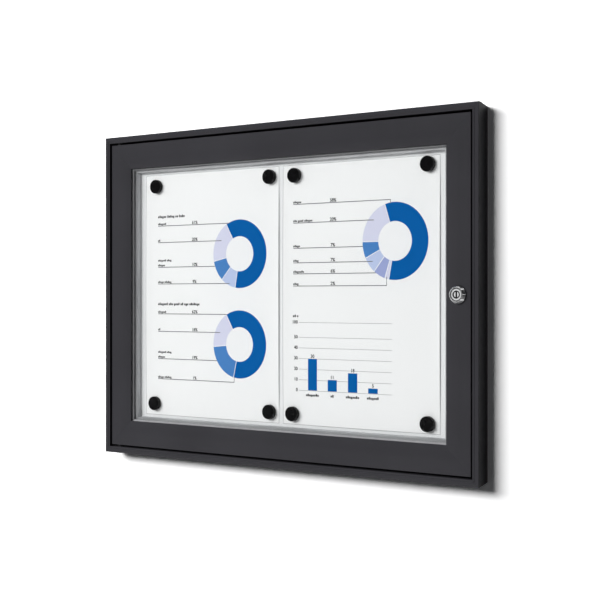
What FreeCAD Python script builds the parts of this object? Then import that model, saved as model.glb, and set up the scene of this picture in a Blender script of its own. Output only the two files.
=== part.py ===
import FreeCAD, Part
import math
import os
import re

import Sketcher

# Lockable wall notice board for two A4 sheets side by side.
# Millimetres, +Z up. The origin is the middle of the back face, on the wall; the front looks along -Y.
# The extruded members, the corner keys and the strike are drawn in the frame of their own side of the
# board: x runs along the side from its outer corner, y inward from the outer edge, z off the wall.
# Turned pieces are drawn as a half section: x is the radius, y the height along their axis.

SIZES = [
    ("sheet_width", 210.0, "A4 sheet"),
    ("sheet_height", 297.0, "A4 sheet"),
    ("sheet_thickness", 0.25, "A4 sheet"),
    ("sheet_gap", 5.7, "between the two sheets"),
    ("side_margin", 8.9, "from a sheet to the bead beside it"),
    ("end_margin", 3.25, "from a sheet to the beads above and below it"),
    ("rim_width", 7.5, "face of the case rim"),
    ("rim_band", 3.0, "upright band at the front of the outer side"),
    ("side_inset", 2.7, "how far the slanted outer side stands in at the wall"),
    ("case_wall", 1.5, "wall of the case profile"),
    ("web_thickness", 1.6, "flat web of the case profile that lies on the wall"),
    ("web_support", 3.5, "overlap of the web behind the panel"),
    ("edge_round", 0.5, "rounding of the visible profile edges"),
    ("groove_place", 4.8, "decorative groove on the rim, from its outer edge"),
    ("groove_width", 0.5, "width of that groove"),
    ("groove_depth", 0.4, "depth of that groove"),
    ("door_gap", 2.5, "gap between the rim and the door, all round"),
    ("door_recess", 1.5, "door face behind the rim face"),
    ("door_member", 30.75, "width of a door member"),
    ("door_flat", 14.0, "flat outer part of the door face"),
    ("face_fall", 2.5, "fall of the curved inner part of the door face"),
    ("face_wall", 2.0, "front wall of the door profile"),
    ("door_wall", 1.8, "other walls of the door profile"),
    ("door_box", 24.5, "width of the hollow box of the door profile"),
    ("flange_edge", 2.7, "thickness of the front flange at the window"),
    ("lip_reach", 3.0, "rear lip that holds the pane"),
    ("pane_clearance", 1.55, "pane in front of the magnets"),
    ("pane_thickness", 2.0, "clear pane"),
    ("pane_play", 1.0, "play between the pane and the groove floor"),
    ("gasket_thickness", 1.5, "glazing gasket between the flange and the pane"),
    ("gasket_width", 4.75, "part of the gasket under the flange"),
    ("gasket_show", 1.75, "visible lip of the gasket inside the window"),
    ("gasket_slope", 0.7, "fall of the visible gasket lip"),
    ("bead_clearance", 0.6, "front of the panel bead behind the pane"),
    ("bead_show", 3.75, "visible face of the panel bead"),
    ("bead_width", 7.25, "width of the panel bead without its foot"),
    ("bead_wall", 1.3, "wall of the panel bead"),
    ("bead_foot", 7.0, "screwed foot of the panel bead"),
    ("bead_screw_spacing_long", 300.0, "screws in the upper and lower beads"),
    ("bead_screw_spacing_short", 190.0, "screws in the side beads"),
    ("panel_play", 1.0, "play round the panel inside its beads"),
    ("core_thickness", 4.2, "stiffening board behind the steel facing"),
    ("facing_thickness", 0.7, "white steel facing"),
    ("magnet_radius", 8.5, "magnet cap"),
    ("magnet_height", 5.5, "magnet cap"),
    ("magnet_round", 1.2, "rounded front edge of the magnet cap"),
    ("magnet_core_radius", 6.0, "magnet disc inside the cap"),
    ("magnet_core_height", 3.0, "magnet disc inside the cap"),
    ("magnet_core_play", 0.1, "play of the disc in the cap"),
    ("magnet_side_inset", 15.0, "magnet centre from the side of its sheet"),
    ("magnet_end_inset", 11.5, "magnet centre from the top or bottom of its sheet"),
    ("key_leg", 40.0, "leg of a case corner key"),
    ("key_plate", 1.6, "thickness of a case corner key"),
    ("key_drop", 1.0, "case corner key behind the head of the hinge pin"),
    ("key_band", 5.0, "width of a case corner key"),
    ("key_play", 0.1, "play of the corner keys in their hollows"),
    ("door_key_leg", 45.0, "leg of a door corner key"),
    ("door_key_thickness", 5.2, "thickness of a door corner key"),
    ("hinge_set_back", 9.0, "hinge axis from the edge of the door"),
    ("hinge_rise", 5.0, "hinge axis in front of the back of the door"),
    ("pin_radius", 1.6, "hinge pin"),
    ("pin_play", 0.05, "radial play of the hinge pin"),
    ("pin_reach", 12.0, "hinge pin inside the door"),
    ("pin_shoulder_radius", 2.3, "shoulder of the hinge pin in the gap"),
    ("pin_shoulder", 1.3, "length of that shoulder"),
    ("pin_head_radius", 3.0, "head of the hinge pin inside the rim"),
    ("pin_head", 1.2, "thickness of that head"),
    ("pin_point", 0.5, "chamfer of the pin's free end"),
    ("washer_thickness", 1.0, "nylon washer that carries the door"),
    ("washer_radius", 2.9, "nylon washer"),
    ("lock_set_back", 15.0, "lock axis from the edge of the door"),
    ("bezel_radius", 9.75, "front ring of the lock"),
    ("bezel_front_radius", 7.6, "front of that ring"),
    ("bezel_height", 5.5, "front ring off its seat"),
    ("bezel_base", 1.1, "upright base of the front ring"),
    ("seat_play", 0.2, "radial play of the front ring on its seat"),
    ("seat_depth", 0.1, "least depth of the seat below the face"),
    ("lock_edge", 0.5, "rounded and chamfered edges of the housing"),
    ("barrel_radius", 7.0, "threaded barrel"),
    ("barrel_play", 0.1, "radial play of the barrel in the door"),
    ("barrel_reach", 4.5, "barrel behind the door"),
    ("plug_radius", 5.8, "turning plug"),
    ("plug_play", 0.05, "radial play of the plug in the barrel"),
    ("plug_sink", 0.4, "plug behind the front of the ring"),
    ("plug_ring", 1.1, "raised ring of the plug's front"),
    ("plug_dish", 0.5, "depth inside that ring"),
    ("plug_edge", 0.3, "chamfer of that ring"),
    ("keyway_length", 7.0, "keyway in the plug"),
    ("keyway_width", 1.8, "keyway in the plug"),
    ("keyway_depth", 8.0, "keyway in the plug"),
    ("nut_flats", 18.0, "nut on the barrel, across flats"),
    ("nut_thickness", 2.2, "nut on the barrel"),
    ("nut_play", 0.05, "radial play of the nut on the barrel"),
    ("cam_thickness", 2.0, "cam behind the plug"),
    ("cam_gap", 0.25, "running gap between the barrel and the cam"),
    ("cam_reach", 15.2, "tip of the cam from the lock axis"),
    ("cam_eye", 6.5, "half width of the cam round the plug"),
    ("cam_arm", 4.5, "half width of the cam arm"),
    ("tail_square", 6.0, "square tail of the plug"),
    ("tail_play", 0.05, "play of the cam on the tail, each side"),
    ("cam_screw_radius", 4.2, "head of the cam screw"),
    ("cam_screw_head", 1.8, "head of the cam screw"),
    ("cam_screw_shank", 1.8, "shank radius of the cam screw"),
    ("cam_screw_length", 5.0, "shank length of the cam screw"),
    ("cam_screw_play", 0.05, "radial play of the cam screw"),
    ("strike_length", 32.0, "strike plate along the case"),
    ("strike_thickness", 1.4, "strike plate"),
    ("strike_reach", 6.0, "tongue of the strike off the rim"),
    ("strike_gap", 0.5, "tongue of the strike in front of the cam"),
    ("strike_screw_spacing", 23.0, "screws of the strike"),
    ("strike_screw_rise", 4.4, "screws of the strike above the wall"),
    ("screw_shank", 1.4, "shank radius of the small screws"),
    ("screw_hole_play", 0.1, "radial play of the screw holes"),
    ("screw_head_radius", 2.5, "head radius of the small screws"),
    ("screw_head", 1.5, "head height of the small screws"),
    ("screw_edge", 0.7, "chamfer of the small screws' heads"),
    ("screw_point", 0.5, "chamfer of the small screws' points"),
    ("screw_grip", 2.6, "thread of the small screws past what they hold"),
    ("recess_length", 2.8, "cross recess of the small screws"),
    ("recess_width", 0.7, "cross recess of the small screws"),
    ("recess_depth", 1.0, "cross recess of the small screws"),
    ("buffer_radius", 4.0, "rubber buffer under the closing side of the door"),
    ("buffer_stem", 1.9, "stem radius of the buffer"),
    ("buffer_gap", 0.2, "buffer behind the closed door"),
    ("buffer_round", 1.0, "rounded edge of the buffer"),
    ("stem_play", 0.05, "radial play of the buffer's stem"),
    ("stem_sink", 0.2, "stem short of the wall"),
    ("buffer_inset", 21.0, "buffer centre from the outer edge"),
    ("buffer_spacing", 260.0, "between the two buffers"),
    ("wall_hole_radius", 2.75, "hole for a wall screw"),
    ("wall_hole_inset", 20.0, "wall holes from the upper and lower edges"),
    ("wall_hole_spacing", 400.0, "wall holes along the board"),
    ("cut_over", 1.0, "how far a cutting shape runs past what it cuts"),
]

# Places that follow from the sizes
DERIVED = {
    "door_edge": "rim_width + door_gap",
    "window_edge": "door_edge + door_member",
    "box_edge": "door_edge + door_box",
    "lip_edge": "box_edge + lip_reach",
    "panel_front": "web_thickness + core_thickness + facing_thickness",
    "magnet_front": "panel_front + sheet_thickness + magnet_height",
    "pane_back": "magnet_front + pane_clearance",
    "pane_front": "pane_back + pane_thickness",
    "flange_back": "pane_front + gasket_thickness",
    "window_face": "flange_back + flange_edge",
    "door_face": "window_face + face_fall",
    "case_depth": "door_face + door_recess",
    "face_radius": "((door_member - door_flat)^2 + face_fall^2)/(2*face_fall)",
    "door_back": "pane_back - door_wall",
    "pane_edge": "box_edge + pane_play",
    "gasket_edge": "window_edge + gasket_show",
    "bead_front": "pane_back - bead_clearance",
    "bead_inner": "gasket_edge + bead_show",
    "case_width": "2*sheet_width + sheet_gap + 2*(bead_inner + side_margin)",
    "case_height": "sheet_height + 2*(bead_inner + end_margin)",
    "bead_outer": "bead_inner - bead_width",
    "foot_edge": "bead_outer - bead_foot",
    "panel_edge": "bead_outer + bead_wall + panel_play",
    "web_edge": "panel_edge + web_support",
    "mitre_reach": "bead_inner + cut_over",
    "side_run": "case_depth - rim_band",
    "hinge_inset": "door_edge + hinge_set_back",
    "hinge_height": "door_back + hinge_rise",
    "case_key_low": "hinge_height - pin_head_radius - key_drop - key_band",
    "lock_inset": "door_edge + lock_set_back",
    "seat_radius": "bezel_radius + seat_play",
    "seat_fall": "face_radius - sqrt(face_radius^2 - (lock_set_back + seat_radius - door_flat)^2)",
    "lock_seat": "door_face - seat_fall - seat_depth",
    "bezel_front": "lock_seat + bezel_height",
    "barrel_end": "door_back - barrel_reach",
    "cam_front": "barrel_end - cam_gap",
    "cam_back": "cam_front - cam_thickness",
    "tongue_back": "cam_front + strike_gap",
    "tongue_front": "tongue_back + strike_thickness",
    "wall_slope_foot": "case_wall + side_inset*(1 - web_thickness/side_run)",
}

# Each side of the board: its turn about Y, its length and its outer corner
SIDES = {
    "bottom": (0, "case_width", "-case_width/2", "-case_height/2"),
    "right": (-90, "case_height", "case_width/2", "-case_height/2"),
    "top": (180, "case_width", "case_width/2", "case_height/2"),
    "left": (90, "case_height", "-case_width/2", "case_height/2"),
}

# Magnets put on by hand: sheet, side and end of it, and how far each sits off the even place
MAGNETS = [
    ("left", -1, 1, 4.2, 2.9),
    ("left", 1, 1, -2.2, 0.1),
    ("left", -1, -1, 1.4, 2.7),
    ("left", 1, -1, -1.9, 1.2),
    ("right", -1, 1, 2.9, 0.5),
    ("right", 1, 1, -0.8, -2.1),
    ("right", -1, -1, 0.0, 0.7),
    ("right", 1, -1, -0.5, -0.7),
]

UPRIGHT = FreeCAD.Rotation(FreeCAD.Vector(1, 0, 0), 90)

doc = FreeCAD.newDocument("notice_board")
sheet = doc.addObject("Spreadsheet::Sheet", "Sizes")
for row, (name, size, note) in enumerate(SIZES, start=1):
    sheet.set(f"A{row}", name)
    sheet.set(f"B{row}", str(size))
    sheet.set(f"C{row}", note)
    sheet.setAlias(f"B{row}", name)
doc.recompute()

CELLS = {name for name, size, note in SIZES}
parts = []


def formula(text):
    """The text with each derived place written out and each size as its cell."""
    def swap(match):
        word = match.group(0)
        if word in DERIVED:
            return f"({formula(DERIVED[word])})"
        return f"Sizes.{word}" if word in CELLS else word
    return re.sub(r"[a-z_]+", swap, text)


def value(text):
    return float(sheet.evalExpression(formula(text)))


def bind(thing, **formulas):
    for prop, text in formulas.items():
        thing.setExpression(prop, formula(text))


def place(thing, x, y, z, rotation):
    thing.Placement = FreeCAD.Placement(FreeCAD.Vector(), rotation)
    for axis, text in zip("xyz", (x, y, z)):
        thing.setExpression(f".Placement.Base.{axis}", formula(text))


def place_on_side(thing, side):
    turn, length, x, z = SIDES[side]
    place(thing, x, "0", z, FreeCAD.Rotation(FreeCAD.Vector(0, 1, 0), turn).multiply(UPRIGHT))


def keep(thing, label):
    thing.Label = label
    parts.append(thing)
    return thing


def new_body(label):
    body = doc.addObject("PartDesign::Body", label)
    body.Label = label
    return body


def new_sketch(body, role, offset="0"):
    """A sketch on one of the body's origin planes, moved along its normal."""
    sketch = body.newObject("Sketcher::SketchObject", f"{body.Name}_sketch")
    base = next(item for item in body.Origin.OriginFeatures if item.Role == role)
    sketch.AttachmentSupport = [(base, "")]
    sketch.MapMode = "FlatFace"
    sketch.setExpression(".AttachmentOffset.Base.z", formula(offset))
    return sketch


def pin(sketch, geometry, end, x, y):
    """Hold a point of the sketch at the place that two formulas give."""
    for axis, kind, text, own in ((-2, "DistanceX", x, 0), (-1, "DistanceY", y, 1)):
        if text == "0":
            sketch.addConstraint(Sketcher.Constraint("PointOnObject", geometry, end, axis))
            continue
        number = sketch.addConstraint(Sketcher.Constraint(kind, -1, 1, geometry, end, value(text)))
        sketch.setExpression(f"Constraints[{number}]", formula(text))


def arc_between(start, end, radius):
    """An arc that bulges to the left of the way from start to end; it is kept running anticlockwise."""
    chord = end - start
    right = FreeCAD.Vector(chord.y, -chord.x, 0).normalize()
    centre = (start + end) / 2 + right * math.sqrt(radius**2 - (chord.Length / 2)**2)
    first, last = (math.atan2(point.y - centre.y, point.x - centre.x) for point in (end, start))
    if last < first:
        last += 2 * math.pi
    return Part.ArcOfCircle(Part.Circle(centre, FreeCAD.Vector(0, 0, 1), radius), first, last)


def outline(sketch, corners):
    """A closed outline, drawn clockwise: (x, y) is reached by a line, (x, y, radius) by an arc."""
    points = [FreeCAD.Vector(value(corner[0]), value(corner[1]), 0) for corner in corners]
    edges = []
    for number, corner in enumerate(corners):
        start, end = points[number - 1], points[number]
        if len(corner) == 3:
            edge = sketch.addGeometry(arc_between(start, end, value(corner[2])))
            radius = sketch.addConstraint(Sketcher.Constraint("Radius", edge, value(corner[2])))
            sketch.setExpression(f"Constraints[{radius}]", formula(corner[2]))
            edges.append((edge, 2, 1))
        else:
            edges.append((sketch.addGeometry(Part.LineSegment(start, end)), 1, 2))
    for number, (edge, first, last) in enumerate(edges):
        following, next_first, next_last = edges[(number + 1) % len(edges)]
        sketch.addConstraint(Sketcher.Constraint("Coincident", edge, last, following, next_first))
        pin(sketch, edge, last, corners[number][0], corners[number][1])


def circle(sketch, x, y, radius):
    spot = FreeCAD.Vector(value(x), value(y), 0)
    ring = sketch.addGeometry(Part.Circle(spot, FreeCAD.Vector(0, 0, 1), value(radius)))
    size = sketch.addConstraint(Sketcher.Constraint("Radius", ring, value(radius)))
    sketch.setExpression(f"Constraints[{size}]", formula(radius))
    pin(sketch, ring, 3, x, y)


def rectangle(x_low, y_low, x_high, y_high):
    return [(x_low, y_low), (x_low, y_high), (x_high, y_high), (x_high, y_low)]


def pad(body, sketch, length):
    feature = body.newObject("PartDesign::Pad", f"{body.Name}_pad")
    feature.Profile = sketch
    bind(feature, Length=length)
    return feature


def pocket(body, sketch, depth=None):
    """Cut against the sketch's normal to a depth, or right through both ways."""
    feature = body.newObject("PartDesign::Pocket", f"{body.Name}_pocket")
    feature.Profile = sketch
    if depth is None:
        feature.SideType = "Symmetric"
        feature.Type = "ThroughAll"
    else:
        bind(feature, Length=depth)
    return feature


def holes(body, role, spots, depth=None, offset="0"):
    sketch = new_sketch(body, role, offset)
    for x, y, radius in spots:
        circle(sketch, x, y, radius)
    pocket(body, sketch, depth)


def turned(label, corners):
    """A body turned from its half section about its own z axis."""
    body = new_body(label)
    sketch = new_sketch(body, "XZ_Plane")
    outline(sketch, corners)
    feature = body.newObject("PartDesign::Revolution", f"{label}_turning")
    feature.Profile = sketch
    feature.ReferenceAxis = (sketch, ["V_Axis"])
    feature.Angle = 360
    return body


def member(label, side, section, hollow=None):
    """A straight profile along one side of the board, mitred at both ends."""
    length = SIDES[side][1]
    body = new_body(label)
    sketch = new_sketch(body, "YZ_Plane")
    outline(sketch, section)
    if hollow:
        outline(sketch, hollow)
    pad(body, sketch, length)
    mitres = new_sketch(body, "XY_Plane")
    outline(mitres, [("-cut_over", "-cut_over"), ("-cut_over", "mitre_reach"),
                     ("mitre_reach", "mitre_reach")])
    outline(mitres, [(f"{length} + cut_over", "-cut_over"), (f"{length} - mitre_reach", "mitre_reach"),
                     (f"{length} + cut_over", "mitre_reach")])
    pocket(body, mitres)
    place_on_side(body, side)
    return body


def block(label, x, y, z, width, depth, height):
    box = doc.addObject("Part::Box", label)
    bind(box, Length=width, Width=depth, Height=height)
    place(box, x, y, z, FreeCAD.Rotation())
    return box


def group(label, solids):
    compound = doc.addObject("Part::Compound", label)
    compound.Links = solids
    return keep(compound, label)


def along(side, spacing):
    """The two places on a side that lie evenly about its middle."""
    half = SIDES[side][1] + "/2"
    return (f"{half} - {spacing}/2", f"{half} + {spacing}/2")


def small_screw(label, grip):
    """A pan head screw with a cross recess; its axis starts under the head."""
    screw = turned(label, [
        ("0", "screw_head"), ("screw_head_radius - screw_edge", "screw_head"),
        ("screw_head_radius", "screw_head - screw_edge"), ("screw_head_radius", "0"),
        ("screw_shank", "0"), ("screw_shank", f"screw_point - ({grip})"),
        ("screw_shank - screw_point", f"-({grip})"), ("0", f"-({grip})")])
    cross = new_sketch(screw, "XY_Plane", "screw_head")
    outline(cross, [
        ("-recess_width/2", "-recess_length/2"), ("-recess_width/2", "-recess_width/2"),
        ("-recess_length/2", "-recess_width/2"), ("-recess_length/2", "recess_width/2"),
        ("-recess_width/2", "recess_width/2"), ("-recess_width/2", "recess_length/2"),
        ("recess_width/2", "recess_length/2"), ("recess_width/2", "recess_width/2"),
        ("recess_length/2", "recess_width/2"), ("recess_length/2", "-recess_width/2"),
        ("recess_width/2", "-recess_width/2"), ("recess_width/2", "-recess_length/2")])
    pocket(screw, cross, "recess_depth")
    return screw


# Case: four mitred lengths of one aluminium profile, a hollow rim with a flat web behind the door
CASE_SECTION = [
    ("side_inset", "0"),
    ("0", "side_run"),
    ("0", "case_depth - edge_round"),
    ("edge_round", "case_depth", "edge_round"),
    ("groove_place", "case_depth"),
    ("groove_place", "case_depth - groove_depth"),
    ("groove_place + groove_width", "case_depth - groove_depth"),
    ("groove_place + groove_width", "case_depth"),
    ("rim_width - edge_round", "case_depth"),
    ("rim_width", "case_depth - edge_round", "edge_round"),
    ("rim_width", "web_thickness"),
    ("web_edge", "web_thickness"),
    ("web_edge", "0"),
]
CASE_HOLLOW = [
    ("wall_slope_foot", "web_thickness"),
    ("case_wall", "side_run"),
    ("case_wall", "case_depth - case_wall"),
    ("rim_width - case_wall", "case_depth - case_wall"),
    ("rim_width - case_wall", "web_thickness"),
]
BEAD_SPACING = {"bottom": "bead_screw_spacing_long", "top": "bead_screw_spacing_long",
                "left": "bead_screw_spacing_short", "right": "bead_screw_spacing_short"}
HINGE_PLACE = {"bottom": "hinge_inset", "top": "case_width - hinge_inset"}
FOOT_LINE = "foot_edge + bead_foot/2"
SCREW_HOLE = "screw_shank + screw_hole_play"

for side in SIDES:
    case = member(f"case_frame_{side}", side, CASE_SECTION, CASE_HOLLOW)
    holes(case, "XY_Plane", [(x, FOOT_LINE, SCREW_HOLE) for x in along(side, BEAD_SPACING[side])])
    if side in HINGE_PLACE:
        holes(case, "XY_Plane",
              [(x, "wall_hole_inset", "wall_hole_radius") for x in along(side, "wall_hole_spacing")])
        holes(case, "XZ_Plane", [(HINGE_PLACE[side], "hinge_height", "pin_radius + pin_play")],
              "case_wall + 2*cut_over", "-(rim_width - case_wall - cut_over)")
    if side == "right":
        holes(case, "XZ_Plane",
              [(x, "strike_screw_rise", SCREW_HOLE) for x in along(side, "strike_screw_spacing")],
              "case_wall + 2*cut_over", "-(rim_width - case_wall - cut_over)")
        holes(case, "XY_Plane",
              [(x, "buffer_inset", "buffer_stem + stem_play") for x in along(side, "buffer_spacing")])
    keep(case, f"case_frame_{side}")

    # Steel angle inside the rim that pulls the mitre together
    near = "rim_width - case_wall - key_play - key_plate"
    key = new_body(f"case_corner_key_{side}")
    sketch = new_sketch(key, "XY_Plane", "case_key_low")
    outline(sketch, [
        (near, near), (near, f"{near} + key_leg"), (f"{near} + key_plate", f"{near} + key_leg"),
        (f"{near} + key_plate", f"{near} + key_plate"), (f"{near} + key_leg", f"{near} + key_plate"),
        (f"{near} + key_leg", near)])
    pad(key, sketch, "key_band")
    place_on_side(key, side)
    parts.append(key)

# Panel: a stiff board faced with white steel, laid on the webs and held by screwed beads
panel_width = "case_width - 2*panel_edge"
panel_height = "case_height - 2*panel_edge"
keep(block("panel_core", "panel_edge - case_width/2", "-(web_thickness + core_thickness)",
           "panel_edge - case_height/2", panel_width, "core_thickness", panel_height), "panel_core")
keep(block("panel_facing", "panel_edge - case_width/2", "-panel_front",
           "panel_edge - case_height/2", panel_width, "facing_thickness", panel_height), "panel_facing")

BEAD_SECTION = [
    ("foot_edge", "web_thickness"),
    ("foot_edge", "web_thickness + bead_wall"),
    ("bead_outer", "web_thickness + bead_wall"),
    ("bead_outer", "bead_front - edge_round"),
    ("bead_outer + edge_round", "bead_front", "edge_round"),
    ("bead_inner - edge_round", "bead_front"),
    ("bead_inner", "bead_front - edge_round", "edge_round"),
    ("bead_inner", "panel_front"),
    ("bead_inner - bead_wall", "panel_front"),
    ("bead_inner - bead_wall", "bead_front - bead_wall"),
    ("bead_outer + bead_wall", "bead_front - bead_wall"),
    ("bead_outer + bead_wall", "web_thickness"),
]
bead_screws = []
for side, (turn, length, x_corner, z_corner) in SIDES.items():
    bead = member(f"panel_bead_{side}", side, BEAD_SECTION)
    holes(bead, "XY_Plane", [(x, FOOT_LINE, SCREW_HOLE) for x in along(side, BEAD_SPACING[side])])
    keep(bead, f"panel_bead_{side}")
    # The side's own axes in the board's: x runs one way along it, y inward
    step = {"bottom": (1, 0), "right": (0, 1), "top": (-1, 0), "left": (0, -1)}[side]
    inward = (-step[1], step[0])
    for number, run in enumerate(along(side, BEAD_SPACING[side]), start=1):
        screw = small_screw(f"bead_screw_{side}_{number}", "bead_wall + web_thickness")
        place(screw, f"{x_corner} + ({step[0]})*({run}) + ({inward[0]})*({FOOT_LINE})",
              "-(web_thickness + bead_wall)",
              f"{z_corner} + ({step[1]})*({run}) + ({inward[1]})*({FOOT_LINE})", UPRIGHT)
        bead_screws.append(screw)
group("bead_screws", bead_screws)

# Two A4 sheets, held by eight round magnets
for side, x_low in (("left", "-sheet_gap/2 - sheet_width"), ("right", "sheet_gap/2")):
    keep(block(f"sheet_{side}", x_low, "-(panel_front + sheet_thickness)", "-sheet_height/2",
               "sheet_width", "sheet_thickness", "sheet_height"), f"sheet_{side}")

cores = []
for number, (side, across, up, nudge_side, nudge_end) in enumerate(MAGNETS, start=1):
    middle = f"(sheet_gap + sheet_width)/2*({-1 if side == 'left' else 1})"
    x = f"{middle} + ({across})*(sheet_width/2 - magnet_side_inset - ({nudge_side}))"
    z = f"({up})*(sheet_height/2 - magnet_end_inset - ({nudge_end}))"
    cap = turned(f"magnet_{number}", [
        ("magnet_core_radius", "0"), ("magnet_core_radius", "magnet_core_height"),
        ("0", "magnet_core_height"), ("0", "magnet_height"),
        ("magnet_radius - magnet_round", "magnet_height"),
        ("magnet_radius", "magnet_height - magnet_round", "magnet_round"),
        ("magnet_radius", "0")])
    core = turned(f"magnet_core_{number}", rectangle(
        "0", "0", "magnet_core_radius - magnet_core_play", "magnet_core_height - magnet_core_play"))
    for piece in (cap, core):
        place(piece, x, "-(panel_front + sheet_thickness)", z, UPRIGHT)
    keep(cap, f"magnet_{number}")
    cores.append(core)
group("magnet_cores", cores)

# Door: four mitred lengths of one profile; its face curves back towards the window
DOOR_SECTION = [
    ("door_edge", "door_back"),
    ("door_edge", "door_face - edge_round"),
    ("door_edge + edge_round", "door_face", "edge_round"),
    ("door_edge + door_flat", "door_face"),
    ("window_edge", "window_face", "face_radius"),
    ("window_edge", "flange_back"),
    ("box_edge", "flange_back"),
    ("box_edge", "pane_back"),
    ("lip_edge", "pane_back"),
    ("lip_edge", "door_back"),
]
DOOR_HOLLOW = [
    ("door_edge + door_wall", "pane_back"),
    ("door_edge + door_wall", "door_face - face_wall"),
    ("door_edge + door_flat", "door_face - face_wall"),
    ("box_edge - door_wall", "door_face - face_wall"
     " - (face_radius - sqrt(face_radius^2 - (door_box - door_wall - door_flat)^2))",
     "face_radius"),
    ("box_edge - door_wall", "pane_back"),
]
GASKET_SECTION = [
    ("window_edge - gasket_width", "pane_front"),
    ("window_edge - gasket_width", "flange_back"),
    ("window_edge", "flange_back"),
    ("gasket_edge", "flange_back - gasket_slope"),
    ("gasket_edge", "pane_front"),
]
key_low = "pane_back + key_play"
key_near = "door_edge + door_wall + key_play"
key_far = "box_edge - door_wall - key_play"
key_end = f"{key_near} + door_key_leg"

for side in SIDES:
    length = SIDES[side][1]
    door = member(f"door_frame_{side}", side, DOOR_SECTION, DOOR_HOLLOW)
    if side in HINGE_PLACE:
        holes(door, "XZ_Plane", [(HINGE_PLACE[side], "hinge_height", "pin_radius + pin_play")],
              "door_wall + 2*cut_over", "-(door_edge - cut_over)")
    if side == "right":
        holes(door, "XY_Plane", [(f"{length}/2", "lock_inset", "barrel_radius + barrel_play")])
        holes(door, "XY_Plane", [(f"{length}/2", "lock_inset", "seat_radius")],
              "case_depth - lock_seat", "case_depth")
    keep(door, f"door_frame_{side}")

    keep(member(f"glazing_gasket_{side}", side, GASKET_SECTION), f"glazing_gasket_{side}")

    # Cast corner key in the door's hollow; the two at the hinge side are also its bearings
    key = new_body(f"door_corner_key_{side}")
    sketch = new_sketch(key, "XY_Plane", key_low)
    outline(sketch, [(key_near, key_near), (key_near, key_end), (key_far, key_end),
                     (key_far, key_far), (key_end, key_far), (key_end, key_near)])
    pad(key, sketch, "door_key_thickness")
    if side == "bottom":
        holes(key, "XZ_Plane", [("hinge_inset", "hinge_height", "pin_radius + pin_play")],
              "door_box", "-(door_edge + cut_over)")
    if side == "left":
        bore = new_sketch(key, "YZ_Plane", "door_edge + cut_over")
        circle(bore, "hinge_inset", "hinge_height", "pin_radius + pin_play")
        pocket(key, bore, "door_box").Reversed = True
    place_on_side(key, side)
    parts.append(key)

keep(block("window_pane", "pane_edge - case_width/2", "-pane_front", "pane_edge - case_height/2",
           "case_width - 2*pane_edge", "pane_thickness", "case_height - 2*pane_edge"), "window_pane")

# Hinge: a shouldered pin through the rim into each corner key, with a nylon washer in the gap
UP = FreeCAD.Rotation()
DOWN = FreeCAD.Rotation(FreeCAD.Vector(1, 0, 0), 180)
hinge_ends = (("bottom", "rim_width - case_height/2", UP), ("top", "case_height/2 - rim_width", DOWN))
washers = []
for end, z, rotation in hinge_ends:
    hinge_pin = turned(f"hinge_pin_{end}", [
        ("0", "-case_wall - pin_head"), ("0", "door_gap + pin_reach"),
        ("pin_radius - pin_point", "door_gap + pin_reach"),
        ("pin_radius", "door_gap + pin_reach - pin_point"),
        ("pin_radius", "pin_shoulder"), ("pin_shoulder_radius", "pin_shoulder"),
        ("pin_shoulder_radius", "0"), ("pin_radius", "0"), ("pin_radius", "-case_wall"),
        ("pin_head_radius", "-case_wall"), ("pin_head_radius", "-case_wall - pin_head")])
    place(hinge_pin, "hinge_inset - case_width/2", "-hinge_height", z, rotation)
    keep(hinge_pin, f"hinge_pin_{end}")
    washer = turned(f"hinge_washer_{end}", rectangle(
        "pin_radius + pin_play", "pin_shoulder", "washer_radius", "pin_shoulder + washer_thickness"))
    place(washer, "hinge_inset - case_width/2", "-hinge_height", z, rotation)
    washers.append(washer)
group("hinge_washers", washers)

# Cam lock through the right door member
LOCK_X = "case_width/2 - lock_inset"
bore_radius = "plug_radius + plug_play"
housing = turned("lock_housing", [
    (bore_radius, "barrel_end"), (bore_radius, "bezel_front - lock_edge"),
    (f"{bore_radius} + lock_edge", "bezel_front"), ("bezel_front_radius - lock_edge", "bezel_front"),
    ("bezel_front_radius", "bezel_front - lock_edge", "lock_edge"),
    ("bezel_radius", "lock_seat + bezel_base"), ("bezel_radius", "lock_seat"),
    ("barrel_radius", "lock_seat"), ("barrel_radius", "barrel_end + lock_edge"),
    ("barrel_radius - lock_edge", "barrel_end")])
place(housing, LOCK_X, "0", "0", UPRIGHT)
keep(housing, "lock_housing")

nut = new_body("lock_nut")
sketch = new_sketch(nut, "XY_Plane", "door_back - nut_thickness")
corner = "nut_flats/sqrt(3)"
outline(sketch, [
    (corner, "0"), (f"{corner}/2", "-nut_flats/2"), (f"-{corner}/2", "-nut_flats/2"),
    (f"-{corner}", "0"), (f"-{corner}/2", "nut_flats/2"), (f"{corner}/2", "nut_flats/2")])
circle(sketch, "0", "0", "barrel_radius + nut_play")
pad(nut, sketch, "nut_thickness")
place(nut, LOCK_X, "0", "0", UPRIGHT)
keep(nut, "lock_nut")

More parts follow.
